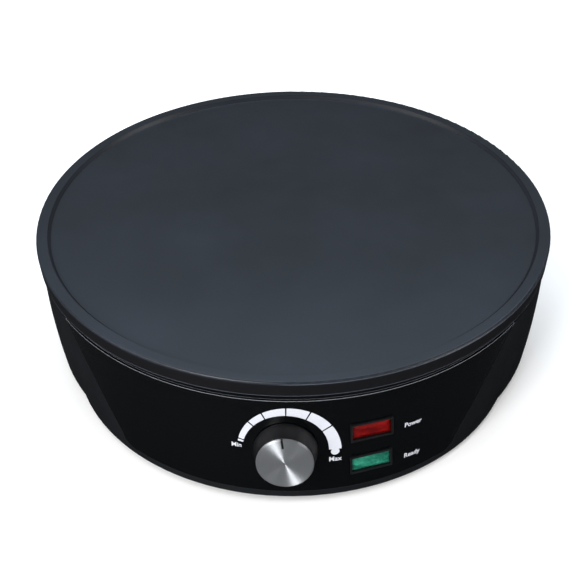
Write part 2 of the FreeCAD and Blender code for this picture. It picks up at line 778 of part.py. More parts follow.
def make_clip():
    ring = cylinder("clip_ring", "hub_radius + 0.75", "4", ("0", "0", "1.4"))
    bore = cylinder("clip_bore", "hub_radius + run_gap", "6", ("0", "0", "0.4"))
    gap = box("clip_gap", "3", "20", "6", ("0", "10", "0.4"))
    return cut("knob_clip", ring, [bore, gap])


def make_bracket():
    back = "-(bracket_back + bracket_thickness)"
    sheet_body = box("bracket_sheet", "2 * bracket_half_width", "2 * bracket_half_height",
                     "bracket_thickness",
                     ("0", "0", back))
    lips = []
    for side in (-1, 1):
        lips.append(box("bracket_lip", "2 * bracket_half_width - 30", "bracket_thickness", "6",
                        ("0", "%d * (bracket_half_height - bracket_thickness / 2)" % side,
                         back + " - 5.9 + bracket_thickness")))
    holes = [cylinder("bracket_bore", "shaft_radius + 2.2", "6", ("0", "0", back + " - 1"))]
    for side in (-1, 1):
        for offset, radius in (("bracket_hole_offset", "small_screw_radius + fit_gap"),
                               ("(thermostat_half - 6)", "small_screw_radius + fit_gap")):
            holes.append(cylinder("bracket_hole", radius, "6",
                                  ("%d * %s" % (side, offset), "0", back + " - 1")))
    return cut("control_bracket", fuse("bracket_blank", [sheet_body] + lips), holes)


def make_thermostat():
    back = "(bracket_back + bracket_thickness + thermostat_depth)"
    front = "-(bracket_back + bracket_thickness)"
    height = "(2 * bracket_half_height - 2 * bracket_thickness - 1)"
    case = box("thermostat_case", "2 * thermostat_half", height, "thermostat_depth", ("0", "0", "-" + back))
    bush = cylinder("thermostat_bush", "shaft_radius + 2", "bracket_thickness + 2",
                    ("0", "0", front + " - 0.5"))
    tabs = []
    for x in (-10, 10):
        for y in (-6, 6):
            tabs.append(box("thermostat_tab", "6.3", "0.8", "9", (str(x), str(y), "-%s - 8" % back)))
    holes = [cylinder("thermostat_bore", "shaft_radius + run_gap", "60", ("0", "0", "-%s + 3" % back))]
    for side in (-1, 1):
        holes.append(cylinder("thermostat_hole", "small_screw_radius + run_gap", "7",
                              ("%d * (thermostat_half - 6)" % side, "0", front + " - 6")))
    return cut("thermostat_body", fuse("thermostat_solid", [case, bush] + tabs), holes)


def make_control_screws():
    """Two screws hold the bracket to the housing, two hold the thermostat."""
    rear, front = [], []
    flip = Rotation(Vector(1, 0, 0), 180)
    for side in (-1, 1):
        rear.append(screw("bracket_screw", "small_screw_radius", "4.5", "2.8", "1.8",
                          ("%d * bracket_hole_offset" % side, "0",
                           "-(bracket_back + bracket_thickness + 1.8)")))
        front.append(screw("thermostat_screw", "small_screw_radius", "5.5", "2.8", "1.8",
                           ("%d * (thermostat_half - 6)" % side, "0", "-bracket_back + 1.8"), flip))
    return group("bracket_screws", rear), group("thermostat_screws", front)


# Pilot lamps, drawn in each lamp's own frame

def make_lamp(prefix, height):
    frame_out = box(prefix + "_frame_out", "lamp_width", "lamp_height", "lamp_proud + lamp_frame_depth",
                    ("0", "0", "-lamp_frame_depth"))
    frame_in = box(prefix + "_frame_in", "lamp_width - 2 * lamp_wall", "lamp_height - 2 * lamp_wall", "60",
                   ("0", "0", "-30"))
    bezel = cut(prefix + "_bezel", frame_out, [frame_in])
    half_x = "(lamp_width / 2 - lamp_wall - run_gap)"
    half_y = "(lamp_height / 2 - lamp_wall - run_gap)"
    hip = doc.addObject("Part::Wedge", prefix + "_lens_hip")
    for prop, text in (("Xmin", "-" + half_x), ("Xmax", half_x), ("Zmin", "-" + half_y), ("Zmax", half_y),
                       ("Ymin", "0"), ("Ymax", "lens_proud + 0.8"), ("X2min", "-(%s - 3)" % half_x),
                       ("X2max", half_x + " - 3"), ("Z2min", "-(%s - 2.2)" % half_y),
                       ("Z2max", half_y + " - 2.2")):
        hip.setExpression(prop, bound(text))
    move(hip, ("0", "0", "-0.8"), Rotation(Vector(1, 0, 0), 90))
    lens_low = box(prefix + "_lens_low", "2 * " + half_x, "2 * " + half_y, "lens_depth - 0.8",
                   ("0", "0", "-lens_depth"))
    lens = fuse(prefix + "_lens", [lens_low, hip])
    holder = box(prefix + "_holder", "2 * " + half_x, "2 * " + half_y, "lamp_body_depth - lens_depth - 0.2",
                 ("0", "0", "-lamp_body_depth"))
    pocket = cylinder(prefix + "_pocket", "bulb_radius + fit_gap", "bulb_length + 1.3",
                      ("0", "0", "-lens_depth - 0.2 - bulb_length - 0.3"))
    tabs = []
    for side in (-1, 1):
        tabs.append(box(prefix + "_tab", "0.8", "4.8", "8", ("%d * 6" % side, "0", "-lamp_body_depth - 7.5")))
    body = cut(prefix + "_body", fuse(prefix + "_body_solid", [holder] + tabs), [pocket])
    bulb = turned(prefix + "_bulb", [
        ("0", "-lens_depth - 0.3 - bulb_length"),
        ("bulb_radius", "-lens_depth - 0.3 - bulb_length"),
        ("bulb_radius", "-lens_depth - 0.3 - bulb_radius"),
        ("0.6 * bulb_radius", "-lens_depth - 0.8"),
        ("0", "-lens_depth - 0.4"),
    ])
    spot = lamp_spot(value(height))
    for piece in (bezel, lens, body, bulb):
        seat(piece, spot)
    return {prefix + "_bezel": bezel, prefix + "_lens": lens, prefix + "_body": body, prefix + "_bulb": bulb}


# Inlet, terminals and the pieces clipped under the plate

def make_bushing():
    """The rear inlet: a flanged bush through the wall, bored for the lead."""
    rise = "(inlet_height - foot_height - edge_break) / (housing_height - edge_break)"
    out = "(body_bottom_radius + (body_top_radius - body_bottom_radius) * %s + inlet_seat)" % rise
    lay = Rotation(Vector(1, 0, 0), 90)
    sleeve = cylinder("bushing_sleeve", "inlet_bore_radius + inlet_wall", "12",
                      ("0", out, "inlet_height"), lay)
    flange = cone("bushing_flange", "inlet_bore_radius + inlet_wall + 1.6",
                  "inlet_bore_radius + inlet_wall + 3",
                  "inlet_flange", ("0", out + " + inlet_flange", "inlet_height"), lay)
    sleeve_out = cylinder("bushing_front", "inlet_bore_radius + inlet_wall", "4",
                          ("0", out + " + inlet_flange + 1", "inlet_height"), lay)
    nut = cylinder("bushing_collar", "inlet_bore_radius + inlet_wall + 2.5", "2",
                   ("0", out + " - wall - 2.8", "inlet_height"), lay)
    bore = cylinder("bushing_bore", "inlet_bore_radius", "60", ("0", out + " + 30", "inlet_height"), lay)
    return cut("cord_bushing", fuse("bushing_blank", [sleeve, sleeve_out, flange, nut]), [bore])


def make_terminal_block():
    level = COVER_TOP + " + 5.5"
    blank = box("block_blank", "block_length", "block_width", "block_height", ("0", "block_place", level))
    holes = []
    screws = []
    fixings = []
    lay = Rotation(Vector(1, 0, 0), 90)
    for step in (-1, 0, 1):
        x = "%d * (block_length - 2) / 3" % step
        holes.append(cylinder("block_bore", "2.4", "60",
                              (x, "block_place + 30", "%s + 0.42 * block_height" % level), lay))
        for side in (-1, 1):
            y = "block_place + %d * block_width / 4" % side
            holes.append(cylinder("block_screw_bore", "1.9", "20",
                                  (x, y, "%s + 0.42 * block_height" % level)))
            screws.append(cylinder("block_screw", "1.8", "0.58 * block_height - 2.5",
                                   (x, y, "%s + 0.42 * block_height + 1.5" % level)))
    for side in (-1, 1):
        x = "%d * block_fix_offset" % side
        holes.append(cylinder("block_fix_hole", "small_screw_radius + fit_gap", "40",
                              (x, "block_place", level + " - 5")))
        fixings.append(screw("block_fix_screw", "small_screw_radius", "block_height + 3.5", "2.6", "1.8",
                             (x, "block_place", "%s + block_height + 1.8" % level),
                             Rotation(Vector(1, 0, 0), 180)))
    return (cut("terminal_block", blank, holes), group("terminal_screws", screws),
            group("block_screws", fixings))


def make_clipped(name, clip_name, length, radius, along, x):
    """A small round piece under the plate along X, its strap and two screws."""
    lay = Rotation(Vector(0, 1, 0), 90)
    level = "(%s - %s - run_gap)" % (PLATE_UNDER, radius)
    piece = cylinder(name, radius, length, ("%s - %s / 2" % (x, length), "clip_place_y", level), lay)
    blank = box(clip_name + "_ears", along, "2 * clip_reach", "strap_thickness",
                ("0", "0", "-strap_thickness"))
    outer = "%s + run_gap + strap_thickness" % radius
    arch = cylinder(clip_name + "_arch", outer, along, ("-(%s) / 2" % along, "0", "-%s" % radius), lay)
    sides = box(clip_name + "_sides", along, "2 * (%s)" % outer, radius, ("0", "0", "-%s" % radius))
    bore = cylinder(clip_name + "_bore", "%s + run_gap" % radius, "2 * " + along,
                    ("-(%s)" % along, "0", "-%s" % radius), lay)
    slot = box(clip_name + "_slot", "2 * " + along, "2 * (%s + run_gap)" % radius, "2 * " + radius,
               ("0", "0", "-%s" % radius))
    above = box(clip_name + "_above", "2 * " + along, "4 * clip_reach", "clip_reach", ("0", "0", "0"))
    holes = [bore, slot, above]
    screws = []
    for side in (-1, 1):
        holes.append(cylinder(clip_name + "_hole", "small_screw_radius + fit_gap", "4",
                              ("0", "%d * clip_hole_offset" % side, "-3")))
        screws.append(screw(clip_name + "_screw", "small_screw_radius", "3.8", "2.4", "1.6",
                            (x, "clip_place_y + %d * clip_hole_offset" % side,
                             PLATE_UNDER + " - strap_thickness - 1.6")))
    clip = move(cut(clip_name, fuse(clip_name + "_blank", [blank, arch, sides]), holes),
                (x, "clip_place_y", PLATE_UNDER))
    return {name: piece, clip_name: clip, clip_name + "_screws": group(clip_name + "_screws", screws)}


def make_straps():
    """Four straps press the element into its groove, with two screws each."""
    straps, screws = [], []
    for angle in STRAP_ANGLES:
        turn = Rotation(Vector(0, 0, 1), angle + 90)
        x, y = polar("element_radius", angle)
        straps.append(strap("element_strap", "tube_radius", "strap_width", "strap_reach", "strap_hole_offset",
                            (x, y, TUBE_LEVEL), turn))
        for side in (-1, 1):
            sx, sy = polar("element_radius + %d * strap_hole_offset" % side, angle)
            screws.append(strap_screw("strap_screw", (sx, sy, TUBE_LEVEL)))
    return group("element_straps", straps), group("strap_screws", screws)


def setback():
    """How far the plate's axis stands behind the middle of the footprint."""
    spot = knob_spot()
    out = spot.Rotation.multVec(Vector(0, 0, 1))
    up = spot.Rotation.multVec(Vector(0, 1, 0))
    face = value("knob_standoff + knob_depth")
    front = spot.Base.y + out.y * face - abs(up.y) * value("cap_radius - 0.7")
    edge = spot.Base.y + out.y * value("knob_standoff + knob_depth - 0.5") - abs(up.y) * value("cap_radius")
    return (-min(front, edge) - value("plate_radius")) / 2


def make_all():
    nodes = {}
    nodes["hotplate"] = make_hotplate()
    nodes["heating_element"] = make_element()
    nodes["element_straps"], nodes["strap_screws"] = make_straps()
    nodes.update(make_clipped("thermal_fuse", "fuse_clip", "fuse_length", "fuse_radius", "6", CLIP_PLACES[0]))
    nodes.update(make_clipped("sensor_probe", "probe_clip", "probe_length", "probe_radius", "8",
                              CLIP_PLACES[1]))
    nodes["heat_shield"] = make_heat_shield()
    nodes["plate_spacers"], nodes["plate_screws"] = make_plate_fixings()
    nodes["housing_shell"] = make_housing()
    nodes["front_panel"] = make_panel()
    nodes["bottom_cover"] = make_cover()
    nodes["cover_screws"] = make_cover_screws()
    for angle, name in FOOT_NAMES.items():
        nodes[name] = make_foot(name, angle)
    nodes["cord_bushing"] = make_bushing()
    nodes["terminal_block"], nodes["terminal_screws"], nodes["block_screws"] = make_terminal_block()
    spot = knob_spot()
    turned_spot = spot * Placement(Vector(), Rotation(Vector(0, 0, 1), value("pointer_angle")))
    nodes["control_bracket"] = seat(make_bracket(), spot)
    nodes["thermostat_body"] = seat(make_thermostat(), spot)
    rear, front = make_control_screws()
    nodes["bracket_screws"] = seat(rear, spot)
    nodes["thermostat_screws"] = seat(front, spot)
    nodes["thermostat_shaft"] = seat(make_shaft(), turned_spot)
    nodes["knob_body"] = seat(make_knob(), turned_spot)
    nodes["knob_cap"] = seat(make_cap(), turned_spot)
    nodes["knob_clip"] = seat(make_clip(), turned_spot)
    nodes.update(make_lamp("power_lamp", "power_lamp_place"))
    nodes.update(make_lamp("ready_lamp", "ready_lamp_place"))
    return nodes


def set_back(obj, distance):
    """Carry a finished piece from the plate's axis to the product's frame."""
    bound_places = {path.lstrip("."): text for path, text in obj.ExpressionEngine}
    if "Placement.Base.y" in bound_places:
        obj.setExpression("Placement.Base.y", "%s + %.9f" % (bound_places["Placement.Base.y"], distance))
    else:
        obj.Placement = Placement(Vector(0, distance, 0), Rotation()) * obj.Placement


def check(nodes):
    for obj in doc.Objects:
        if "Invalid" in obj.State or "Error" in obj.State:
            raise RuntimeError("%s is %s" % (obj.Label, obj.State))
    for name, obj in nodes.items():
        if obj.Shape.isNull() or not obj.Shape.isValid() or not obj.Shape.Solids:
            raise RuntimeError("%s has no good solid" % name)


def report(nodes, distance):
    whole = FreeCAD.BoundBox()
    for name, obj in nodes.items():
        whole.add(obj.Shape.BoundBox)
        print("%-18s %2d solids %10.1f mm3" % (name, len(obj.Shape.Solids), obj.Shape.Volume))
    print("whole", whole)
    spot = Placement(Vector(0, distance, 0), Rotation()) * knob_spot()
    print("knob at", spot.Base, "inward axis", spot.Rotation.multVec(Vector(0, 0, -1)))


def main():
    nodes = make_all()
    doc.recompute()
    distance = setback()
    for name, obj in nodes.items():
        set_back(obj, distance)
        obj.Label = name
    doc.recompute()
    check(nodes)
    report(nodes, distance)
    os.makedirs("parts", exist_ok=True)
    for name, obj in nodes.items():
        obj.Shape.exportStep(os.path.join("parts", name + ".step"))


main()
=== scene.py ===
# %% [markdown]
# # An electric crepe maker, dressed around its engineering model
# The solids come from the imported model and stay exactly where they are. This
# file gives them their finishes, adds the thin printed marks, and sets up a
# plain studio and a camera.

# %% Load the frame
import json
import math

import bmesh
import bpy
from mathutils import Matrix, Vector


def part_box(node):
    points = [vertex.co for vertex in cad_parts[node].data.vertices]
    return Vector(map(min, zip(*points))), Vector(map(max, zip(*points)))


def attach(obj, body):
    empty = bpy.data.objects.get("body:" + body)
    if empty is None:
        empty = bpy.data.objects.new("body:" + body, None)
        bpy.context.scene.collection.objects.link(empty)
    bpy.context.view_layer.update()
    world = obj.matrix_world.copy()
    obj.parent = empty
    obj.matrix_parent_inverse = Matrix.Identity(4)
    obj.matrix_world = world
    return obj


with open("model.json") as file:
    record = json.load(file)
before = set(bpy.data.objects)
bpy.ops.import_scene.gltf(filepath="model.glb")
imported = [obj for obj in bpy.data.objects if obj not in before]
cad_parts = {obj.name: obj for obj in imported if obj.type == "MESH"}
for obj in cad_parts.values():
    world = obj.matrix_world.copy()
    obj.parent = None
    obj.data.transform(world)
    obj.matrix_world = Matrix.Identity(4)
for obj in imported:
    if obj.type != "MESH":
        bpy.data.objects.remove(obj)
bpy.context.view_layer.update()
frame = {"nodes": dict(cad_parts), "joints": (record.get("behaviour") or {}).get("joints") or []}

nodes = frame["nodes"]
MM = 0.001
print("loaded", len(nodes), "pieces")

# %% [markdown]
# ## Reading places from the frame
# The plate's box gives its axis and its rim height, the housing's box gives the
# console's height, and the knob's joint gives the axis of the controls. The
# radii and offsets of the console's two level circles are repeated here from the
# solid model, because no box gives them. A control frame has its local Z
# pointing out of the console, Y up along it and X to the right.

# %% Places and sizes
plate_low, plate_high = (Vector(c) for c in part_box("hotplate"))
PLATE_RADIUS = (plate_high.x - plate_low.x) / 2
RIM_TOP = plate_high.z
PLATE_AXIS_Y = (plate_high.y + plate_low.y) / 2

housing_low, housing_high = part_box("housing_shell")
CONSOLE_TOP = housing_high[2]
CONSOLE_HEIGHT = housing_high[2] - housing_low[2]
# Radius of each level circle, and how far its centre stands before the plate's.
TOP_CIRCLE = (147.0 * MM, 2.0 * MM)
BOTTOM_CIRCLE = (128.3 * MM, 28.0 * MM)

knob_joint = frame["joints"][0]
knob_origin = Vector(knob_joint["pos_m"])
knob_out = -Vector(knob_joint["axis"]).normalized()
print("plate radius", round(PLATE_RADIUS, 4), "rim top", round(RIM_TOP, 4))
print("console from", round(housing_low[2], 4), "to", round(CONSOLE_TOP, 4))


def control_frame(origin, out):
    """A matrix whose Z points along out, with X level and to the right."""
    across = Vector((0, 0, 1)).cross(out).normalized()
    up = out.cross(across)
    turn = Matrix((across, up, out)).transposed().to_4x4()
    return Matrix.Translation(origin) @ turn


knob_frame = control_frame(knob_origin, knob_out)


def console_point(x, z, lift=0.0):
    """A point on the console's skin at a given X and height, lifted off it."""
    share = (CONSOLE_TOP - z) / CONSOLE_HEIGHT
    radius = TOP_CIRCLE[0] + share * (BOTTOM_CIRCLE[0] - TOP_CIRCLE[0]) + lift
    offset = TOP_CIRCLE[1] + share * (BOTTOM_CIRCLE[1] - TOP_CIRCLE[1])
    return Vector((x, PLATE_AXIS_Y - offset - math.sqrt(radius ** 2 - x ** 2), z))


# %% [markdown]
# ## Material helpers
# One function turns the hex colours that a designer would note down into the
# linear values that the renderer needs. Another adds any node with its settings
# and links, so each material below reads as a list of its layers. The pieces are
# drawn at real size, so a pattern's scale is worked out from millimetres.

# %% Colour and node helpers
# Noise here keeps a little more of its fine layers than the usual 0.5.
GRAININESS = 0.55


def colour(hex_text):
    """sRGB hex to a linear RGBA tuple."""
    parts = [int(hex_text[i:i + 2], 16) / 255 for i in (1, 3, 5)]
    linear = [c / 12.92 if c <= 0.04045 else ((c + 0.055) / 1.055) ** 2.4 for c in parts]
    return (*linear, 1.0)


def per(size_mm):
    """The scale at which a pattern's features are about size_mm across."""
    return 1.0 / (size_mm * MM)


def connect(tree, node, **links):
    """Fill inputs, by name or as n and a number. A node stands for its first output."""
    for name, value in links.items():
        numbered = name[0] == "n" and name[1:].isdigit()
        socket = node.inputs[int(name[1:]) if numbered else name.replace("_", " ")]
        if isinstance(value, bpy.types.Node):
            value = value.outputs[0]
        if isinstance(value, bpy.types.NodeSocket):
            tree.links.new(value, socket)
        else:
            socket.default_value = value
    return node


def add(tree, kind, settings=None, **links):
    """Add a node. Settings are attributes, or the two stops of a colour ramp."""
    node = tree.nodes.new("ShaderNode" + kind)
    for name, value in (settings or {}).items():
        if name == "stops":
            for element, (position, tone) in zip(node.color_ramp.elements, value):
                element.position = position
                element.color = tone
        else:
            setattr(node, name, value)
    return connect(tree, node, **links)


def new_material(name, **shader):
    """A material with one Principled shader, whose sockets are set by name."""
    material = bpy.data.materials.new(name)
    material.use_nodes = True
    tree = material.node_tree
    tree.nodes.clear()
    principled = add(tree, "BsdfPrincipled", None, **shader)
    add(tree, "OutputMaterial", None, Surface=principled)
    return material, tree, principled


def place(tree, scale=(1, 1, 1)):
    """Object coordinates, stretched by scale."""
    where = add(tree, "TexCoord").outputs["Object"]
    return add(tree, "Mapping", None, Vector=where, Scale=scale)


def offset_from(tree, origin):
    """The arm from origin to the shaded point."""
    where = add(tree, "TexCoord").outputs["Object"]
    return add(tree, "VectorMath", {"operation": "SUBTRACT"}, n0=where, n1=origin)


def dress(names, material):
    """Give the named pieces a finish in the slots that they came with."""
    for name in names:
        node = nodes[name]
        for slot in node.material_slots:
            slot.material = material
        if not node.material_slots:
            node.data.materials.append(material)


# %% [markdown]
# ## Rubbed and painted edges
# Hands and cloths polish a surface first where it turns sharply. A Bevel node
# gives a softened normal, and where that leaves the real normal there is an edge.
# Painting each edge by hand would do it too, but this finds them on every piece.
# The same mix also paints highlights and shade on some edges, where noted below.

# %% Edge wear and painted edge light
# The edge colour is full where the dot product of the two normals has fallen by this much.
FULL_EDGE_TURN = 0.12


def edge_wear_and_painted_light(tree, base, edge, radius_mm):
    """Mix base towards edge colour where the surface turns sharply."""
    soft = add(tree, "Bevel", {"samples": 4}, Radius=radius_mm * MM)
    sharp = add(tree, "NewGeometry").outputs["Normal"]
    dot = add(tree, "VectorMath", {"operation": "DOT_PRODUCT"}, n0=soft, n1=sharp).outputs["Value"]
    amount = add(tree, "MapRange", None, Value=dot, From_Min=1.0 - FULL_EDGE_TURN, From_Max=1.0,
                 To_Min=1.0, To_Max=0.0)
    return add(tree, "Mix", {"data_type": "RGBA"}, n0=amount, n6=base, n7=edge).outputs[2]


# %% [markdown]
# ## The hotplate: cast aluminium under a non-stick coating
# Such plates are turned castings sprayed with a dark grey PTFE enamel. The
# coat is satin, slightly orange-peeled, and carries very fine lighter flecks.
# Use leaves faint hairline scuffs on it. The skirt is darker in the photograph,
# so a painted shade darkens what is both low and at the outside, under the rim.

# %% Non-stick coating
# Each pair is where a tone begins to change and where it has changed.
FLANK_BLEND = (PLATE_RADIUS - 3.0 * MM, PLATE_RADIUS - 2.0 * MM)
SKIRT_BLEND = (RIM_TOP - 2.2 * MM, RIM_TOP - 1.0 * MM)


def coating():
    """Clouded enamel with flecks and scuffs; painted shade on the skirt and inner edges, a painted highlight
    on the outer edge.
    """
    material, tree, shader = new_material("ptfe_enamel_on_cast_aluminium", Roughness=0.34, IOR=1.45)
    here = place(tree)
    cloud = add(tree, "TexNoise", None, Vector=here, Scale=per(60.0), Detail=2.0, Roughness=GRAININESS)
    body = add(tree, "ValToRGB", {"stops": ((0.3, colour("#191c22")), (0.7, colour("#1e222a")))}, Fac=cloud)
    fleck = add(tree, "TexNoise", None, Vector=here, Scale=per(0.55), Detail=2.0, Roughness=GRAININESS)
    flecks = add(tree, "MapRange", None, Value=fleck, From_Min=0.62, From_Max=0.72, To_Min=0.0, To_Max=0.08)
    speckled = add(tree, "Mix", {"data_type": "RGBA"}, n0=flecks, n6=body, n7=colour("#5d636b")).outputs[2]
    streaked = place(tree, (1.0, 14.0, 1.0))
    scuff = add(tree, "TexNoise", None, Vector=streaked, Scale=per(9.0), Detail=2.0, Roughness=GRAININESS)
    scuffs = add(tree, "MapRange", None, Value=scuff, From_Min=0.66, From_Max=0.70, To_Min=0.0, To_Max=0.05)
    scuffed = add(tree, "Mix", {"data_type": "RGBA"}, n0=scuffs, n6=speckled, n7=colour("#4c5159")).outputs[2]
    arm = add(tree, "VectorMath", {"operation": "MULTIPLY"},
              n0=offset_from(tree, (0, PLATE_AXIS_Y, 0)), n1=(1, 1, 0))
    radius = add(tree, "VectorMath", {"operation": "LENGTH"}, n0=arm).outputs["Value"]
    outside = add(tree, "MapRange", None, Value=radius, From_Min=FLANK_BLEND[0], From_Max=FLANK_BLEND[1],
                  To_Min=0.0, To_Max=1.0)
    height = add(tree, "SeparateXYZ", None, Vector=here).outputs["Z"]
    low = add(tree, "MapRange", None, Value=height, From_Min=SKIRT_BLEND[0], From_Max=SKIRT_BLEND[1],
              To_Min=1.0, To_Max=0.0)
    skirt = add(tree, "Math", {"operation": "MULTIPLY"}, n0=low, n1=outside)
    # Painted shade: the skirt, low and at the outside under the rim, is darkened.
    shaded = add(tree, "Mix", {"data_type": "RGBA"}, n0=skirt, n6=scuffed, n7=colour("#111114")).outputs[2]
    # Painted shade on the rim's inner edges, and a painted highlight on its outer edge.
    inner_edge_shade = edge_wear_and_painted_light(tree, shaded, colour("#0b0c0f"), 0.9)
    outer_edge_highlight = edge_wear_and_painted_light(tree, shaded, colour("#5f656f"), 0.7)
    edged = add(tree, "Mix", {"data_type": "RGBA"}, n0=outside, n6=inner_edge_shade, n7=outer_edge_highlight).outputs[2]
    haze = add(tree, "TexNoise", None, Vector=here, Scale=per(12.0), Detail=3.0, Roughness=GRAININESS)
    sheen = add(tree, "MapRange", None, Value=haze, From_Min=0.3, From_Max=0.7, To_Min=0.33, To_Max=0.36)
    peel = add(tree, "TexNoise", None, Vector=here, Scale=per(0.9), Detail=3.0, Roughness=GRAININESS)
    skin = add(tree, "Bump", None, Strength=0.5, Distance=0.02 * MM, Height=peel)
    connect(tree, shader, Base_Color=edged, Roughness=sheen, Normal=skin)
    return material


dress(["hotplate"], coating())
print("coated the hotplate")

# %% [markdown]
# ## The housing: a matt black thermoplastic moulding
# Such housings are often moulded against a spark-eroded tool, which leaves an
# even grain just under half a millimetre across. The grain breaks the highlights
# into a soft grey sheen. It could be a picture taken from a real mould, but noise
# has no seams and takes its size from a number. The knob, the cord bush and the
# feet are mouldings too, so one function serves them all.

# %% Matt moulding
def matt_moulding(name, base, lighter, grain_mm=0.45, rough=(0.42, 0.56), edge_tone="#26282b"):
    """Moulded plastic or rubber with an even grain and rubbed edges."""
    material, tree, shader = new_material(name, Roughness=0.5, IOR=1.5, Specular_IOR_Level=0.4)
    here = place(tree)
    flow = add(tree, "TexNoise", None, Vector=here, Scale=per(25.0), Detail=2.0, Roughness=GRAININESS)
    tone = add(tree, "ValToRGB", {"stops": ((0.3, colour(base)), (0.7, colour(lighter)))}, Fac=flow)
    grain = add(tree, "TexNoise", None, Vector=here, Scale=per(grain_mm), Detail=2.0, Roughness=GRAININESS)
    sheen = add(tree, "MapRange", None, Value=grain, From_Min=0.3, From_Max=0.7,
                To_Min=rough[0], To_Max=rough[1])
    skin = add(tree, "Bump", None, Strength=0.6, Distance=0.05 * MM, Height=grain)
    connect(tree, shader, Base_Color=edge_wear_and_painted_light(tree, tone, colour(edge_tone), 0.4), Roughness=sheen, Normal=skin)
    return material


housing_finish = matt_moulding("glass_filled_polyester", "#0c0f13", "#101418")
dress(["housing_shell", "bottom_cover"], housing_finish)
knob_finish = matt_moulding("satin_black_nylon", "#08080a", "#0c0c0e", 0.3, (0.40, 0.50))
dress(["knob_body", "cord_bushing"], knob_finish)
rubber = matt_moulding("moulded_rubber", "#151515", "#1c1c1c", 0.8, (0.7, 0.85))
dress([n for n in nodes if n.startswith("foot_")], rubber)
print("finished the housing, the knob, the bush and the feet")

# %% [markdown]
# ## The console inlay: polished black acrylic
# The inlay is moulded against a polished tool, so it mirrors the studio. Real
# gloss is never perfect: it has a faint long ripple from the moulding, a patchy
# haze and a little dust, all kept just visible. A flat black with no flaws would
# look drawn, so each of these is a layer of its own. A painted highlight lies on
# its top edge.

# %% Gloss inlay
TOP_EDGE_BLEND = (CONSOLE_TOP - 2.0 * MM, CONSOLE_TOP - 0.8 * MM)


def gloss_inlay():
    """Black acrylic with haze, dust, a long ripple and a painted highlight on its top edge."""
    black = colour("#040506")
    material, tree, shader = new_material("polished_black_acrylic", Base_Color=black, Roughness=0.06,
                                          IOR=1.49, Coat_Weight=0.15, Coat_Roughness=0.03)
    here = place(tree)
    haze = add(tree, "TexNoise", None, Vector=here, Scale=per(14.0), Detail=4.0, Roughness=GRAININESS)
    sheen = add(tree, "MapRange", None, Value=haze, From_Min=0.3, From_Max=0.7, To_Min=0.05, To_Max=0.13)
    speck = add(tree, "TexNoise", None, Vector=here, Scale=per(0.7), Detail=1.0, Roughness=GRAININESS)
    dust = add(tree, "MapRange", None, Value=speck, From_Min=0.70, From_Max=0.80, To_Min=0.0, To_Max=0.25)
    tone = add(tree, "Mix", {"data_type": "RGBA"}, n0=dust, n6=black, n7=colour("#3a3a40")).outputs[2]
    height = add(tree, "SeparateXYZ", None, Vector=here).outputs["Z"]
    top_edge = add(tree, "MapRange", None, Value=height, From_Min=TOP_EDGE_BLEND[0],
                   From_Max=TOP_EDGE_BLEND[1], To_Min=0.0, To_Max=1.0)
    # Painted highlight: the top edge is lightened where the surface turns.
    edge_tone = edge_wear_and_painted_light(tree, tone, colour("#9b9ea5"), 0.5)
    edged = add(tree, "Mix", {"data_type": "RGBA"}, n0=top_edge, n6=tone, n7=edge_tone).outputs[2]
    wave = add(tree, "TexNoise", None, Vector=here, Scale=per(30.0), Detail=1.0, Roughness=GRAININESS)
    ripple = add(tree, "Bump", None, Strength=0.06, Distance=0.4 * MM, Height=wave)
    connect(tree, shader, Base_Color=edged, Roughness=sheen, Normal=ripple)
    return material


dress(["front_panel"], gloss_inlay())
print("polished the inlay")

# %% [markdown]
# ## The knob's cap: spun aluminium
# A thin disc is turned and anodised, so its lines run round the centre. Each
# line stretches the highlight across itself, which gives the two bright fans.
# The lines could be cut as real grooves, but noise along the radius is lighter
# and does the same at this size. The stretch runs along the arm from the centre,
# turned into world space.

# %% Spun aluminium
LINE_WIDTH_MM = 0.16


def spun_aluminium():
    """Aluminium with fine turned lines and a highlight stretched across them."""
    material, tree, shader = new_material("spun_anodised_aluminium", Metallic=0.88, Roughness=0.46,
                                          Anisotropic=1.0)
    arm = offset_from(tree, knob_origin)
    length = add(tree, "VectorMath", {"operation": "LENGTH"}, n0=arm).outputs["Value"]
    rings = add(tree, "TexNoise", {"noise_dimensions": "1D"}, W=length, Scale=per(LINE_WIDTH_MM), Detail=3.0)
    tone = add(tree, "ValToRGB", {"stops": ((0.3, colour("#a7abb0")), (0.7, colour("#cfd2d6")))}, Fac=rings)
    sheen = add(tree, "MapRange", None, Value=rings, From_Min=0.3, From_Max=0.7, To_Min=0.43, To_Max=0.49)
    grooves = add(tree, "Bump", None, Strength=0.6, Distance=0.006 * MM, Height=rings)
    turned = add(tree, "VectorTransform", {"vector_type": "VECTOR", "convert_from": "OBJECT",
                 "convert_to": "WORLD"}, Vector=arm)
    connect(tree, shader, Base_Color=tone, Roughness=sheen, Normal=grooves, Tangent=turned)
    return material


dress(["knob_cap"], spun_aluminium())
print("spun the cap")

# %% [markdown]
# ## The two signal lamps
# Each lamp is a clear coloured polycarbonate window in a thin black frame, with
# a glow lamp behind it. The windows are dimpled inside to spread the light. The
# dimples could be modelled, but small rounded cells in a bump are enough here.

# %% Lamp windows and glass
DIMPLE_MM = 1.4


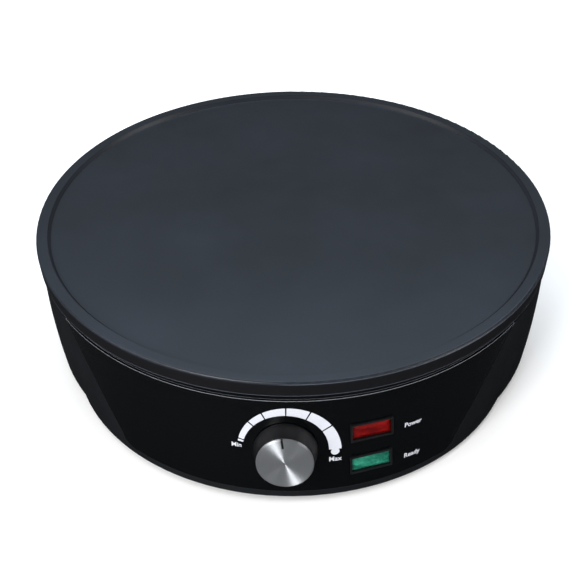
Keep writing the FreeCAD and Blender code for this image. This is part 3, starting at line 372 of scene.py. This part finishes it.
def lamp_window(name, deep, bright):
    """Coloured polycarbonate with dimples and a streak of brighter tone."""
    material, tree, shader = new_material(name, Roughness=0.12, IOR=1.58, Transmission_Weight=0.35,
                                          Coat_Weight=0.6, Coat_Roughness=0.05)
    dimple = add(tree, "TexVoronoi", {"feature": "SMOOTH_F1"}, Vector=place(tree),
                 Scale=per(DIMPLE_MM), Smoothness=0.6)
    streak = add(tree, "TexNoise", None, Vector=place(tree, (0.25, 1.0, 1.6)), Scale=per(5.0),
                 Detail=2.0, Roughness=GRAININESS)
    between = add(tree, "MapRange", None, Value=dimple, From_Min=0.0, From_Max=0.8, To_Min=1.1, To_Max=0.8)
    shade = add(tree, "Math", {"operation": "MULTIPLY"}, n0=streak, n1=between)
    tone = add(tree, "ValToRGB", {"stops": ((0.3, colour(deep)), (0.65, colour(bright)))}, Fac=shade)
    dimpled = add(tree, "Bump", None, Strength=0.5, Distance=0.12 * MM, Height=dimple)
    connect(tree, shader, Base_Color=tone, Normal=dimpled)
    return material


dress(["power_lamp_lens"], lamp_window("red_polycarbonate", "#560202", "#8e0907"))
dress(["ready_lamp_lens"], lamp_window("green_polycarbonate", "#12614e", "#3ba083"))


def bulb_glass():
    """Clear glass with a trace of warm tint."""
    material, tree, shader = new_material("soda_glass", Roughness=0.05, IOR=1.52, Transmission_Weight=0.9)
    tint = add(tree, "TexNoise", None, Vector=place(tree), Scale=per(2.0), Detail=3.0, Roughness=GRAININESS)
    tone = add(tree, "ValToRGB", {"stops": ((0.3, colour("#e6e2da")), (0.7, colour("#f6f4ee")))}, Fac=tint)
    connect(tree, shader, Base_Color=tone)
    return material


dress([n for n in nodes if n.endswith("_lamp_bulb")], bulb_glass())
frame_finish = matt_moulding("fine_black_nylon", "#09090a", "#0e0e10", 0.25, (0.36, 0.46))
dress([n for n in nodes if n.endswith(("_lamp_bezel", "_lamp_body"))], frame_finish)
print("finished both lamps")

# %% [markdown]
# ## Metals and insulators inside
# Little of the inside shows from outside, but each piece is still given the
# surface of its real material: sheet with a rolling grain along X, zinc plate
# clouded by its passivation, machined brass and fired steatite. The metals differ
# in colour, grain and roughness only, so one function draws them all.

# %% Inner finishes
def rolled_metal(name, dark, light, rough=(0.28, 0.42), grain=(0.08, 1.0, 1.0), size_mm=0.8):
    """Bare or plated metal with its grain stretched by the grain factors."""
    material, tree, shader = new_material(name, Metallic=1.0, Roughness=0.35)
    lines = add(tree, "TexNoise", None, Vector=place(tree, grain), Scale=per(size_mm), Detail=4.0,
                Roughness=GRAININESS)
    tone = add(tree, "ValToRGB", {"stops": ((0.3, colour(dark)), (0.7, colour(light)))}, Fac=lines)
    sheen = add(tree, "MapRange", None, Value=lines, From_Min=0.3, From_Max=0.7,
                To_Min=rough[0], To_Max=rough[1])
    skin = add(tree, "Bump", None, Strength=0.5, Distance=0.01 * MM, Height=lines)
    connect(tree, shader, Base_Color=edge_wear_and_painted_light(tree, tone, colour("#d8d8d8"), 0.2), Roughness=sheen, Normal=skin)
    return material


def fired_ceramic():
    """Unglazed steatite, pale and finely rough."""
    material, tree, shader = new_material("fired_steatite", Roughness=0.55, IOR=1.6)
    here = place(tree)
    cloud = add(tree, "TexNoise", None, Vector=here, Scale=per(1.2), Detail=3.0, Roughness=GRAININESS)
    tone = add(tree, "ValToRGB", {"stops": ((0.35, colour("#d9d3c5")), (0.65, colour("#ece7dc")))}, Fac=cloud)
    grit = add(tree, "TexNoise", None, Vector=here, Scale=per(0.4), Detail=3.0, Roughness=GRAININESS)
    skin = add(tree, "Bump", None, Strength=0.5, Distance=0.03 * MM, Height=grit)
    connect(tree, shader, Base_Color=tone, Normal=skin)
    return material


EVEN = (1.0, 1.0, 1.0)
zinc = rolled_metal("zinc_plated_steel", "#8f959b", "#b9bec3", (0.3, 0.5), EVEN, 3.0)
steatite = fired_ceramic()
finishes = {
    "heating_element": rolled_metal("oxidised_chromium_steel", "#3d3a38", "#5b554f", (0.4, 0.6), EVEN, 4.0),
    "heat_shield": rolled_metal("aluminised_steel", "#8a8c8e", "#a9abad"),
    "control_bracket": zinc,
    "element_straps": zinc,
    "strap_screws": zinc,
    "plate_spacers": steatite,
    "thermostat_body": steatite,
    "thermostat_shaft": rolled_metal("turned_free_cutting_steel", "#9a9ea2", "#c2c5c8", (0.2, 0.34)),
    "knob_clip": rolled_metal("sprung_carbon_steel", "#55585c", "#7c8085"),
    "sensor_probe": rolled_metal("drawn_copper", "#a3593a", "#c9805c"),
    "terminal_block": matt_moulding("cream_nylon", "#c9c4b4", "#dcd8ca", 0.6, (0.4, 0.55), "#e6e2d6"),
    "terminal_screws": rolled_metal("machined_brass", "#b39a5a", "#d3bd80"),
    "thermal_fuse": rolled_metal("plated_brass", "#a9a59a", "#cbc8bf"),
}
for name, material in finishes.items():
    dress([name], material)
rest = [n for n in nodes if n.endswith(("_clip", "_screws")) and n not in finishes]
dress(rest, zinc)
print("finished", len(finishes) + len(rest), "inner pieces")

# %% [markdown]
# ## The printed marks
# White ink lies on the gloss inlay: a temperature wedge in seven steps that
# widens towards the hottest setting, a dot past its end, and the words beside
# the scale and the lamps. They could be a picture on the inlay, but drawn shapes
# stay sharp at any distance. Each mark is drawn flat, in millimetres, and then
# laid on the console's skin, lifted off it by the thickness of a coat of ink.
# The places were adjusted to match the photograph.

# %% Laying a point on the skin
INK = 0.06 * MM


def on_skin_at_knob(u, v):
    """Lay a point of the knob's own flat frame on the console."""
    flat = knob_frame @ Vector((u * MM, v * MM, 0.0))
    return console_point(flat.x, flat.z, INK)


def polar_mm(radius, clock_degrees):
    """Clock angle from the top, clockwise, as seen from the front."""
    angle = math.radians(clock_degrees)
    return radius * math.sin(angle), radius * math.cos(angle)


def finish_piece(mesh, name):
    """Turn the faces outwards and hand the mark to the base."""
    for face in mesh.faces:
        if face.normal.y > 0:
            face.normal_flip()
    data = bpy.data.meshes.new(name)
    mesh.to_mesh(data)
    mesh.free()
    piece = bpy.data.objects.new(name, data)
    bpy.context.collection.objects.link(piece)
    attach(piece, "base")
    return piece


# %% The temperature wedge and the dot
# Clock angles at which the steps of the wedge begin, and one past the last step.
# Each step stops a divider's width before the next angle.
SCALE_BREAKS = (-79.0, -74.5, -47.0, -27.0, 1.5, 29.0, 58.5, 92.0)
DIVIDER_DEGREES = 1.7
SCALE_DROP = 1.1
INNER_RADIUS = 22.2
OUTER_START, OUTER_END = 25.0, 28.7
CELLS_PER_STEP = 10
DOT_PLACE, DOT_RADIUS = (25.4, -2.6), 2.2
DOT_SIDES = 36


def scale_radii(angle):
    """The wedge's inner and outer radius at a clock angle."""
    share = (angle - SCALE_BREAKS[0]) / (SCALE_BREAKS[-1] - SCALE_BREAKS[0])
    return INNER_RADIUS, OUTER_START + share * (OUTER_END - OUTER_START)


def scale_place(radius, angle):
    """A point of the wedge, whose centre lies a little below the knob's."""
    across, up = polar_mm(radius, angle)
    return on_skin_at_knob(across, up - SCALE_DROP)


def build_marks():
    """The wedge in its steps, and the dot."""
    mesh = bmesh.new()
    for first, border in zip(SCALE_BREAKS, SCALE_BREAKS[1:]):
        last = border - DIVIDER_DEGREES
        pairs = []
        for i in range(CELLS_PER_STEP + 1):
            angle = first + (last - first) * i / CELLS_PER_STEP
            pairs.append([mesh.verts.new(scale_place(r, angle)) for r in scale_radii(angle)])
        for near, far in zip(pairs, pairs[1:]):
            mesh.faces.new((near[0], near[1], far[1], far[0]))
    ring = [polar_mm(DOT_RADIUS, -i * 360 / DOT_SIDES) for i in range(DOT_SIDES)]
    mesh.faces.new([mesh.verts.new(on_skin_at_knob(DOT_PLACE[0] + x, DOT_PLACE[1] + y)) for x, y in ring])
    bmesh.ops.recalc_face_normals(mesh, faces=mesh.faces)
    return finish_piece(mesh, "printed_heat_scale")


ink_pieces = [build_marks()]
print("printed the scale in", len(SCALE_BREAKS) - 1, "steps")

# %% The words
# Share of the type size that a capital fills, and how much strokes are fattened.
CAP_SHARE = 0.72
BOLDNESS = 0.02
# Heights of the capitals, and places in millimetres. The first two lie in the
# knob's flat frame. Each lamp's word lies to its right and below its middle.
MIN_HEIGHT, WORD_HEIGHT = 2.6, 2.8
MIN_PLACE, MAX_PLACE = (-25.3, 0.9), (25.4, -7.5)
LAMP_WORD_X, LAMP_WORD_DROP = 65.8, 3.4


def build_word(name, text, height_mm, lay):
    """Fill a word in the default face and lay it with a function of u and v."""
    curve = bpy.data.curves.new(name + "_flat", "FONT")
    curve.body = text
    curve.size = height_mm / CAP_SHARE
    curve.offset = BOLDNESS * curve.size
    curve.align_x = "CENTER"
    curve.align_y = "CENTER"
    flat = bpy.data.objects.new(name + "_flat", curve)
    bpy.context.collection.objects.link(flat)
    bpy.context.view_layer.update()
    outline = flat.to_mesh()
    mesh = bmesh.new()
    mesh.from_mesh(outline)
    flat.to_mesh_clear()
    bpy.data.objects.remove(flat)
    for vertex in mesh.verts:
        vertex.co = lay(vertex.co.x, vertex.co.y)
    mesh.normal_update()
    return finish_piece(mesh, name)


def beside_knob(u0, v0):
    """Lay a word round a place in the knob's flat frame."""
    return lambda u, v: on_skin_at_knob(u0 + u, v0 + v)


def beside_lamp(lens):
    """Lay a word along the console to the right of a lamp."""
    low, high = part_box(lens)
    level = (low[2] + high[2]) / 2 / MM - LAMP_WORD_DROP
    radius = (TOP_CIRCLE[0] + BOTTOM_CIRCLE[0]) / 2
    middle = math.asin(LAMP_WORD_X * MM / radius)
    return lambda u, v: console_point(radius * math.sin(middle + u * MM / radius), (level + v) * MM, INK)


ink_pieces += [
    build_word("printed_min", "Min", MIN_HEIGHT, beside_knob(*MIN_PLACE)),
    build_word("printed_max", "Max", WORD_HEIGHT, beside_knob(*MAX_PLACE)),
    build_word("printed_power", "Power", WORD_HEIGHT, beside_lamp("power_lamp_lens")),
    build_word("printed_ready", "Ready", WORD_HEIGHT, beside_lamp("ready_lamp_lens")),
]
print("printed", len(ink_pieces) - 1, "words")


# %% White ink
def white_ink():
    """Pad printing ink: slightly grey, matt, and a little uneven."""
    material, tree, shader = new_material("pad_printed_white_ink", Roughness=0.4, IOR=1.5)
    here = place(tree)
    cover = add(tree, "TexNoise", None, Vector=here, Scale=per(0.5), Detail=3.0, Roughness=GRAININESS)
    tone = add(tree, "ValToRGB", {"stops": ((0.3, colour("#b6b8bf")), (0.7, colour("#c4c6ce")))}, Fac=cover)
    mottle = add(tree, "TexNoise", None, Vector=here, Scale=per(0.2), Detail=3.0, Roughness=GRAININESS)
    skin = add(tree, "Bump", None, Strength=0.4, Distance=0.01 * MM, Height=mottle)
    connect(tree, shader, Base_Color=tone, Normal=skin)
    return material


ink = white_ink()
for piece in ink_pieces:
    piece.data.materials.append(ink)
print("inked", len(ink_pieces), "pieces")

# %% [markdown]
# ## The studio
# The photograph is a cut-out on white, so the floor is white to the camera. To
# reflected rays it is dark, because a white floor would turn the gloss inlay
# grey. From below it is clear, so the feet can be looked at. A broad softbox
# above and behind gives the plate its sheen. The view transform is Standard, so
# that a colour shows about as it is written.

# %% Floor and world
# Strength of the even light all round, and of the same air seen in a reflection.
AIR_LIGHT, MIRRORED_AIR = 0.95, 0.10


def studio_floor():
    """White paper that reflects as dark and is clear from below."""
    material, tree, shader = new_material("seamless_paper", Roughness=0.9)
    mirrored = add(tree, "LightPath").outputs["Is Glossy Ray"]
    here = place(tree)
    cloud = add(tree, "TexNoise", None, Vector=here, Scale=per(400.0), Detail=3.0, Roughness=GRAININESS)
    paper = add(tree, "ValToRGB", {"stops": ((0.3, colour("#f9f9f9")), (0.7, colour("#ffffff")))}, Fac=cloud)
    tone = add(tree, "Mix", {"data_type": "RGBA"}, n0=mirrored, n6=paper, n7=colour("#1a1a1c")).outputs[2]
    connect(tree, shader, Base_Color=tone)
    below = add(tree, "NewGeometry").outputs["Backfacing"]
    seen = add(tree, "MixShader", None, n0=below, n1=shader, n2=add(tree, "BsdfTransparent"))
    out = next(n for n in tree.nodes if n.type == "OUTPUT_MATERIAL")
    connect(tree, out, Surface=seen)
    return material


def build_floor(reach=4.0):
    """A square of paper that reaches so many metres each way from the middle."""
    data = bpy.data.meshes.new("studio_floor")
    corners = [(-reach, -reach, 0), (reach, -reach, 0), (reach, reach, 0), (-reach, reach, 0)]
    data.from_pydata(corners, [], [(0, 1, 2, 3)])
    floor = bpy.data.objects.new("studio_floor", data)
    bpy.context.collection.objects.link(floor)
    data.materials.append(studio_floor())
    return floor


def studio_world():
    """Even white air that is dim in reflections."""
    world = bpy.data.worlds.new("studio_air")
    world.use_nodes = True
    tree = world.node_tree
    tree.nodes.clear()
    mirrored = add(tree, "LightPath").outputs["Is Glossy Ray"]
    strength = add(tree, "MapRange", None, Value=mirrored, From_Min=0.0, From_Max=1.0,
                   To_Min=AIR_LIGHT, To_Max=MIRRORED_AIR)
    air = add(tree, "Background", None, Color=(1, 1, 1, 1), Strength=strength)
    add(tree, "OutputWorld", None, Surface=air)
    return world


build_floor()
bpy.context.scene.world = studio_world()
bpy.context.scene.view_settings.view_transform = "Standard"
print("laid the floor")

# %% Lamps
PLATE_AIM = (0, 0, 0.05)
CONSOLE_AIM = (0, -0.1, 0.04)
COOL_WHITE = (0.66, 0.84, 1.0)


def softbox(name, place_m, aim_m, width, height, watts, tint=(1.0, 1.0, 1.0)):
    """A rectangular area light that looks from one point towards another."""
    light = bpy.data.lights.new(name, "AREA")
    light.color = tint
    light.shape = "RECTANGLE"
    light.size, light.size_y = width, height
    light.energy = watts
    lamp = bpy.data.objects.new(name, light)
    lamp.location = place_m
    lamp.rotation_euler = (Vector(aim_m) - Vector(place_m)).to_track_quat("-Z", "Y").to_euler()
    bpy.context.collection.objects.link(lamp)


softbox("rear_softbox", (0.0, 1.15, 1.95), PLATE_AIM, width=1.8, height=0.7, watts=18, tint=COOL_WHITE)
softbox("left_softbox", (-1.6, -0.6, 1.1), PLATE_AIM, width=0.8, height=1.2, watts=9)
softbox("front_left_softbox", (-0.75, -1.35, 0.75), CONSOLE_AIM, width=0.6, height=0.7, watts=20)
softbox("right_softbox", (1.7, -0.2, 1.0), PLATE_AIM, width=0.8, height=1.2, watts=9)
print("hung the softboxes")

# %% [markdown]
# ## The camera
# A pinhole camera was fitted to the rim's outline in the photograph. That gives
# its roll, and its elevation for a given distance. The rim fits as well from
# nearer or farther with another lens, so the distance is a choice, and a round
# rim can't show the sideways turn. The lens and the sideways shift were then
# adjusted a little, to bring the outlines closer.

# %% Camera
DISTANCE = 0.771
ELEVATION, AZIMUTH, ROLL = (math.radians(angle) for angle in (34.1, 1.95, -0.67))
LENS, SENSOR = 81.1, 36.0
SHIFT_X, SHIFT_Y = -0.0052, -0.132

target = Vector((0, PLATE_AXIS_Y, RIM_TOP))
eye = target + DISTANCE * Vector((math.cos(ELEVATION) * math.sin(AZIMUTH),
                                  -math.cos(ELEVATION) * math.cos(AZIMUTH), math.sin(ELEVATION)))
gaze = (target - eye).normalized()
level = gaze.cross(Vector((0, 0, 1))).normalized()
upright = level.cross(gaze)
rolled = math.cos(ROLL) * level + math.sin(ROLL) * upright
top = -math.sin(ROLL) * level + math.cos(ROLL) * upright
camera = bpy.data.objects.new("camera", bpy.data.cameras.new("camera"))
camera.data.lens = LENS
camera.data.sensor_width = SENSOR
camera.data.shift_x, camera.data.shift_y = SHIFT_X, SHIFT_Y
camera.matrix_world = Matrix.Translation(eye) @ Matrix((rolled, top, -gaze)).transposed().to_4x4()
bpy.context.collection.objects.link(camera)
bpy.context.scene.camera = camera
print("camera stands", DISTANCE, "m from the middle of the rim")
